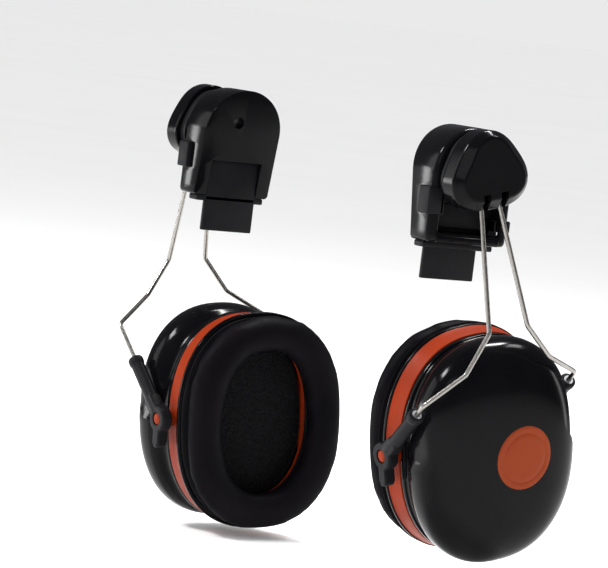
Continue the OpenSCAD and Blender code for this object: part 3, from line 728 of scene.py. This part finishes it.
class Finish:
    """A material under construction: short ways to add and link nodes."""

    def __init__(self, name):
        self.material = bpy.data.materials.new(name)
        self.material.use_nodes = True
        self.tree = self.material.node_tree
        self.shader = self.tree.nodes["Principled BSDF"]
        self.coordinates = self.tree.nodes.new("ShaderNodeTexCoord").outputs["Object"]

    def node(self, kind, inputs=(), **settings):
        made = self.tree.nodes.new("ShaderNode" + kind)
        for key, value in settings.items():
            setattr(made, key, value)
        for key, value in dict(inputs).items():
            if isinstance(value, bpy.types.NodeSocket):
                self.tree.links.new(value, made.inputs[key])
            else:
                made.inputs[key].default_value = value
        return made

    def stretched(self, scale):
        return self.node("Mapping", {"Vector": self.coordinates, "Scale": scale}).outputs[0]

    def noise(self, scale, detail=3.0, vector=None):
        inputs = {"Vector": vector or self.coordinates, "Scale": scale, "Detail": detail}
        return self.node("TexNoise", inputs).outputs["Fac"]

    def cells(self, scale, feature="F1"):
        inputs = {"Vector": self.coordinates, "Scale": scale}
        return self.node("TexVoronoi", inputs, feature=feature).outputs["Distance"]

    def ramp(self, value, stops):
        made = self.node("ValToRGB", {"Fac": value})
        elements = made.color_ramp.elements
        while len(elements) < len(stops):
            elements.new(0.5)
        for element, (position, colour) in zip(elements, stops):
            element.position, element.color = position, colour
        return made.outputs["Color"]

    def span(self, value, low, high):
        inputs = {"Value": value, "To Min": low, "To Max": high, "From Min": 0.3, "From Max": 0.7}
        return self.node("MapRange", inputs).outputs[0]

    def set(self, **values):
        for key, value in values.items():
            socket = self.shader.inputs[key.replace("_", " ")]
            if isinstance(value, bpy.types.NodeSocket):
                self.tree.links.new(value, socket)
            else:
                socket.default_value = value

    def bump(self, *layers):
        """Each layer is (height, distance in metres)."""
        normal = None
        for height, distance in layers:
            inputs = {"Height": height, "Strength": 1.0, "Distance": distance}
            if normal:
                inputs["Normal"] = normal
            normal = self.node("Bump", inputs).outputs["Normal"]
        self.tree.links.new(normal, self.shader.inputs["Normal"])


def gloss_shell():
    f = Finish("gloss_shell")
    tone = f.ramp(f.noise(14), [(0.3, srgb(5, 5, 6)), (0.7, srgb(11, 11, 13))])
    dust = f.ramp(f.noise(2600, 1.0), [(0.70, (0, 0, 0, 1)), (0.78, (0.012, 0.012, 0.013, 1))])
    mix = f.node("MixRGB", {"Fac": 1.0, "Color1": tone, "Color2": dust}, blend_type="ADD")
    f.set(Base_Color=mix.outputs[0], Roughness=f.span(f.noise(45, 4.0), 0.10, 0.19))
    f.set(IOR=1.5, Specular_IOR_Level=0.06)
    f.bump((f.noise(18, 1.0), 0.00018), (f.noise(900, 2.0), 0.000004))
    return f.material


def satin_plastic():
    f = Finish("satin_plastic")
    tone = f.ramp(f.noise(40), [(0.3, srgb(15, 15, 17)), (0.7, srgb(24, 24, 26))])
    f.set(Base_Color=tone, Roughness=f.span(f.noise(160, 4.0), 0.34, 0.50), IOR=1.48)
    f.set(Specular_IOR_Level=0.06)
    f.bump((f.noise(2200, 3.0), 0.00003), (f.cells(1500), 0.00002))
    return f.material


def orange_plastic(name="orange_plastic", low=(110, 31, 6), high=(125, 39, 9)):
    f = Finish(name)
    tone = f.ramp(f.noise(30), [(0.3, srgb(*low)), (0.7, srgb(*high))])
    f.set(Base_Color=tone, Roughness=f.span(f.noise(200, 3.0), 0.36, 0.5), IOR=1.47)
    f.set(Specular_IOR_Level=0.06)
    f.bump((f.noise(1800, 2.0), 0.00002))
    return f.material


def steel(name, roughness, base):
    f = Finish(name)
    streaks = f.noise(1.0, 4.0, f.stretched((5200, 5200, 160)))
    tone = f.ramp(streaks, [(0.3, srgb(*base)), (0.7, srgb(*(min(255, c + 38) for c in base)))])
    f.set(Base_Color=tone, Metallic=1.0, Roughness=f.span(streaks, *roughness))
    f.bump((streaks, 0.000012))
    return f.material


def cushion_skin():
    f = Finish("cushion_skin")
    tone = f.ramp(f.noise(26, 4.0), [(0.3, srgb(7, 6, 8)), (0.7, srgb(13, 11, 14))])
    f.set(Base_Color=tone, Roughness=f.span(f.noise(120, 4.0), 0.44, 0.60), IOR=1.45)
    f.set(Specular_IOR_Level=0.025)
    f.bump((f.noise(70, 3.0), 0.00022), (f.cells(1300, "SMOOTH_F1"), 0.00006),
           (f.noise(3000, 2.0), 0.00001))
    return f.material


def foam():
    f = Finish("foam")
    pores = f.cells(900)
    tone = f.ramp(pores, [(0.1, srgb(5, 5, 6)), (0.6, srgb(17, 17, 19))])
    f.set(Base_Color=tone, Roughness=f.span(f.noise(400), 0.85, 1.0), IOR=1.4)
    f.set(Specular_IOR_Level=0.1)
    f.bump((pores, 0.0006), (f.noise(1600), 0.0002))
    return f.material


MATERIALS = {
    "gloss_shell": gloss_shell(),
    "satin_plastic": satin_plastic(),
    "orange_plastic": orange_plastic(),
    "orange_badge": orange_plastic("orange_badge", (112, 44, 20), (122, 51, 24)),
    "steel": steel("steel", (0.30, 0.45), (150, 150, 153)),
    "fork_steel": steel("fork_steel", (0.20, 0.34), (112, 109, 105)),
    "cushion_skin": cushion_skin(),
    "foam": foam(),
}


# ---- Pieces ----

def add_piece(name, shape, side, where, slot, crease):
    """Places a shape on one side, on its body, for the CAD node of the same name if there is one."""
    body = "root" if where == "root" else f"{side}_{where}"
    matrix = np.array(FRAMES[side][where])
    points = np.asarray(shape[0], float) @ matrix[:3, :3].T + matrix[:3, 3]
    mesh = bpy.data.meshes.new(f"{side}_{name}_look")
    mesh.from_pydata(points.tolist(), [], shape[1])
    turn_outwards(mesh)
    mesh.shade_smooth()
    mesh.set_sharp_from_angle(angle=math.radians(crease))
    mesh.materials.append(MATERIALS[slot])
    ob = bpy.data.objects.new(f"{side}_{name}_look", mesh)
    scene.collection.objects.link(ob)
    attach(ob, body)
    if f"{side}_{name}" in frame["nodes"]:
        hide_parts(f"{side}_{name}")
    return ob


SPRINGS = {side: pressure_spring(length) for side, length in SPRING_LENGTH.items()}
# The liner is real; its lip reaching over the orange ring's web is painted shade, a dark rim where the
# orange lies in shadow
LINER = foam_plate(-6, 6, ((31.5, 44), (31.5, 44)), ((3, -2.5), (3, -2.5)), 0.5, 0.9, 3.2)
DAMPING = foam_plate(6.2, 33.3, ((30, 42), (27, 39)), ((4, -3), (5, -4)), 0.8, 0.7)
# name: (shape or one for each side, body, material slot, fill of a padded piece, crease angle)
LOOKS = {
    "adapter_housing": (adapter_housing(), "root", "gloss_shell", None, 32),
    "slot_blade": (slot_blade(), "root", "satin_plastic", None, 38),
    "lock_clip": (lock_clip(), "root", "satin_plastic", None, 38),
    "head_cap": (head_cap(), "head", "gloss_shell", None, 30),
    "pressure_spring": (SPRINGS, "head", "steel", None, 60),
    "fork_wire_front": (fork_wire(-1), "fork", "fork_steel", None, 60),
    "fork_wire_rear": (fork_wire(1), "fork", "fork_steel", None, 60),
    "arm_front": (arm(-1), "arms", "satin_plastic", None, 40),
    "arm_rear": (arm(1), "arms", "satin_plastic", None, 40),
    "pivot_pin_front": (pivot_pin(-1), "cup", "orange_plastic", None, 50),
    "pivot_pin_rear": (pivot_pin(1), "cup", "orange_plastic", None, 50),
    "outer_shell": (outer_shell(), "cup", "gloss_shell", None, 50),
    "mid_ring": (mid_ring(), "cup", "orange_plastic", None, 40),
    "base_flange": (base_flange(), "cup", "gloss_shell", None, 50),
    "cushion_backplate": (cushion_backplate(), "cup", "satin_plastic", None, 50),
    "cushion_ring": (cushion_ring(), "cup", "cushion_skin", 0.7, 180),
    "foam_liner": (LINER, "cup", "foam", 0.9, 60),
    "damping_foam": (DAMPING, "cup", "foam", 0.9, 60),
    "badge": (badge(), "cup", "orange_badge", None, 40),
    "cushion_seams": (joined(seam(-11.6, 1.2), seam(-12.0, 21.2)), "cup", "cushion_skin", None, 180),
}
for side in SIDES:
    for name, (shape, where, slot, fill, crease) in LOOKS.items():
        shape = shape[side] if isinstance(shape, dict) else shape
        made = add_piece(name, shape, side, where, slot, crease)
        if name == "pressure_spring":
            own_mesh(made)

# CAD nodes whose shape is right keep it, with a full material
KEPT = {
    "swivel_stud": "steel", "friction_washer": "steel", "detent_spring": "steel",
    "head_base": "satin_plastic", "head_screws": "steel", "hinge_pin": "steel",
    "wire_carrier": "satin_plastic", "grip_sleeves": "steel",
}
for side in SIDES:
    for name, slot in KEPT.items():
        ob = frame["nodes"][f"{side}_{name}"]
        ob.data.materials.clear()
        ob.data.materials.append(MATERIALS[slot])


# ---- Floor, light and camera ----

# The camera's aim and axes, its distance in metres and its focal length in millimetres
CENTRE = Vector((0, 0, -0.070))
RIGHT, UP = Vector((0.5446, 0.8301, 0.1200)), Vector((-0.1262, -0.0603, 0.9902))
BACK = Vector((0.8292, -0.5544, 0.0720))
DISTANCE, LENS = 1.9607, 236.6
PAN_LEFT, PAN_DOWN = 0.0086, 0.0008
FLOOR_HALF, FLOOR_GAP = 60.0, 0.004


def make_floor():
    mesh = bpy.data.meshes.new("floor")
    size, z = FLOOR_HALF, cad_box[0].z - FLOOR_GAP
    mesh.from_pydata([(-size, -size, z), (size, -size, z), (size, size, z), (-size, size, z)],
                     [], [(0, 1, 2, 3)])
    f = Finish("floor")
    f.set(Base_Color=f.ramp(f.noise(3), [(0.3, (0.93, 0.93, 0.93, 1)), (0.7, (0.95, 0.95, 0.95, 1))]))
    f.set(Roughness=0.9)
    mesh.materials.append(f.material)
    floor = bpy.data.objects.new("floor", mesh)
    scene.collection.objects.link(floor)


def softbox(name, direction, distance, size, power, target=(0.11, 0, -0.11)):
    """A rectangular light that faces its target from a direction."""
    light = bpy.data.lights.new(name, "AREA")
    light.shape, light.size, light.size_y = "RECTANGLE", *size
    light.energy = power
    ob = bpy.data.objects.new(name, light)
    scene.collection.objects.link(ob)
    aim = Vector(direction).normalized()
    ob.location = Vector(target) + aim * distance
    ob.rotation_mode = "QUATERNION"
    ob.rotation_quaternion = aim.to_track_quat("Z", "Y")


def make_world():
    """A pale backdrop for the camera, a bright room for fill light and a dark one for reflections."""
    world = bpy.data.worlds.new("studio")
    world.use_nodes = True
    scene.world = world
    tree = world.node_tree
    background = tree.nodes["Background"]
    path = tree.nodes.new("ShaderNodeLightPath")
    mix = tree.nodes.new("ShaderNodeMixRGB")
    mix.inputs["Color1"].default_value = (0.95, 0.95, 0.95, 1)
    mix.inputs["Color2"].default_value = (0.12, 0.12, 0.13, 1)
    tree.links.new(path.outputs["Is Glossy Ray"], mix.inputs["Fac"])
    seen = tree.nodes.new("ShaderNodeMixRGB")
    seen.inputs["Color2"].default_value = (0.82, 0.82, 0.82, 1)
    tree.links.new(path.outputs["Is Camera Ray"], seen.inputs["Fac"])
    tree.links.new(mix.outputs[0], seen.inputs["Color1"])
    tree.links.new(seen.outputs[0], background.inputs["Color"])


def make_camera():
    camera = bpy.data.cameras.new("camera")
    camera.lens, camera.sensor_width = LENS, 36
    camera.clip_start, camera.clip_end = 0.05, 50
    ob = bpy.data.objects.new("camera", camera)
    scene.collection.objects.link(ob)
    turn = Matrix((RIGHT, UP, BACK)).transposed()
    place = CENTRE + BACK * DISTANCE - RIGHT * PAN_LEFT - UP * PAN_DOWN
    ob.matrix_world = Matrix.Translation(place) @ turn.to_4x4()
    scene.camera = ob


make_floor()
make_world()
make_camera()
scene.view_settings.view_transform = "Standard"
softbox("overhead", (-0.24, 0.32, 0.91), 1.3, (0.40, 0.12), 22)
softbox("high_front", (-0.39, -0.61, 0.66), 1.5, (0.36, 0.24), 20)
softbox("camera_side", (0.55, -0.75, 0.45), 2.4, (1.0, 1.0), 8)
softbox("rear_rim", (0.20, 0.97, 0.05), 1.6, (0.20, 0.9), 4)
softbox("housing_side", (-0.83, -0.55, -0.07), 2.0, (0.25, 0.45), 9, target=(0.105, -0.02, 0))
softbox("upper_rear", (0.06, 0.55, 0.82), 1.5, (0.35, 0.35), 9, target=(0.13, 0, -0.02))
softbox("far_fill", (-0.7, -0.8, 0.35), 2.0, (0.9, 0.9), 8, target=(-0.09, 0, -0.13))
